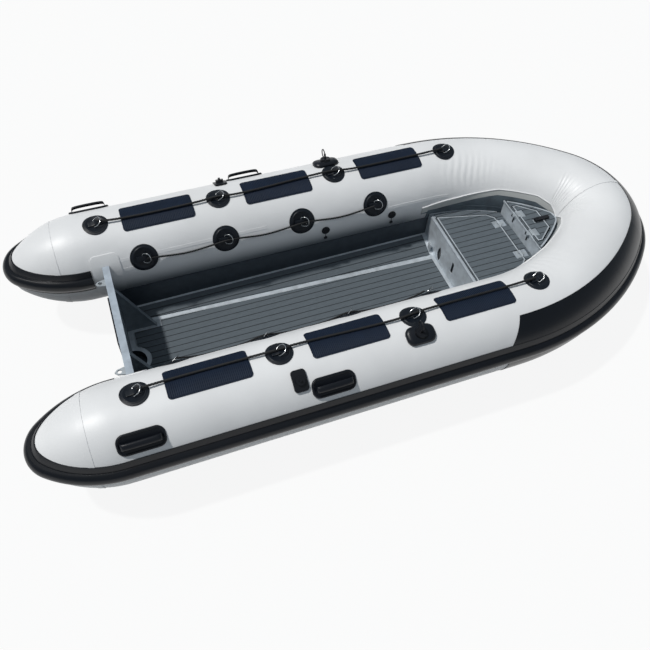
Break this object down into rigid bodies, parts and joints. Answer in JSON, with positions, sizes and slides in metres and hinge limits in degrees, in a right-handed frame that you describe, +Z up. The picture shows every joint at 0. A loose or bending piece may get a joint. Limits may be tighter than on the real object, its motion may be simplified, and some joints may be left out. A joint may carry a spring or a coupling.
{
  "type": "inflatable rib boat",
  "caption": "Small open rigid inflatable boat with a V hull, white inflated collar, rub strakes, grab lines, decked floor and hinged bow lockers.",
  "frame": {"origin": "on the centreline, at the transom's aft face, on the light waterline", "axes": "+X to the bow, +Y to port, +Z up"},
  "size_m": [3.5839, 1.67, 0.7678],
  "materials": {
    "white_fabric": "matt coated fabric",
    "black_rubber": "satin",
    "grey_pad": "ribbed matt",
    "black_plastic": "matt",
    "rope": "braided",
    "hull_aluminium": "bare, satin",
    "hull_side": "shaded sheet",
    "foam_mat": "grooved foam",
    "steel": "stainless"
  },
  "bodies": {
    "boat": {"anchor_front": "hull_aluminium", "anchor_mat": "foam_mat", "anchor_top": "hull_aluminium", "bow_eye": "steel", "bow_guard": "black_rubber", "bow_liner": "hull_side", "carry_handles_port": "black_plastic", "carry_handles_starboard": "black_plastic", "deck_mat_middle": "foam_mat", "deck_mat_port": "foam_mat", "deck_mat_starboard": "foam_mat", "deck_plate": "hull_aluminium", "fixed_hinge_leaves": "steel", "grab_line_port": "rope", "grab_line_starboard": "rope", "hull_shell": "hull_aluminium", "inflation_valves": "black_plastic", "keel_strip": "hull_aluminium", "lifeline_port": "rope", "lifeline_starboard": "rope", "locker_front": "hull_aluminium", "locker_mat": "foam_mat", "locker_top": "hull_aluminium", "motor_pad": "black_plastic", "paddle_clips": "black_plastic", "ring_patches_inner_port": "black_rubber", "ring_patches_inner_starboard": "black_rubber", "ring_patches_top_port": "black_rubber", "ring_patches_top_starboard": "black_rubber", "rings_inner_port": "steel", "rings_inner_starboard": "steel", "rings_top_port": "steel", "rings_top_starboard": "steel", "rowlocks": "black_plastic", "rub_strake_port": "black_rubber", "rub_strake_starboard": "black_rubber", "stern_cone_port": "white_fabric", "stern_cone_starboard": "white_fabric", "tow_eye_port": "steel", "tow_eye_starboard": "steel", "transom_cap": "hull_aluminium", "transom_knee_port": "hull_aluminium", "transom_knee_starboard": "hull_aluminium", "transom_patch_port": "black_rubber", "transom_patch_starboard": "black_rubber", "transom_plate": "hull_aluminium", "tube_bow_port": "white_fabric", "tube_bow_starboard": "white_fabric", "tube_flange": "white_fabric", "tube_side_port": "white_fabric", "tube_side_starboard": "white_fabric", "wear_pads_port": "grey_pad", "wear_pads_starboard": "grey_pad"},
    "lid": {"locker_lid": "hull_aluminium", "lid_mat": "foam_mat", "lid_hinge_leaves": "steel"},
    "hatch": {"anchor_hatch": "hull_aluminium", "hatch_mat": "foam_mat", "hatch_latch": "black_plastic", "hatch_hinge_leaves": "steel"}
  },
  "joints": [
    {"name": "locker_lid_hinge", "type": "hinge", "parent": "boat", "child": "lid", "pos_m": [2.295, 0, 0.2854], "axis": [0, 1, 0], "range_deg": [0, 85]},
    {"name": "anchor_hatch_hinge", "type": "hinge", "parent": "boat", "child": "hatch", "pos_m": [2.361, 0, 0.3854], "axis": [0, -1, 0], "range_deg": [0, 85]}
  ]
}
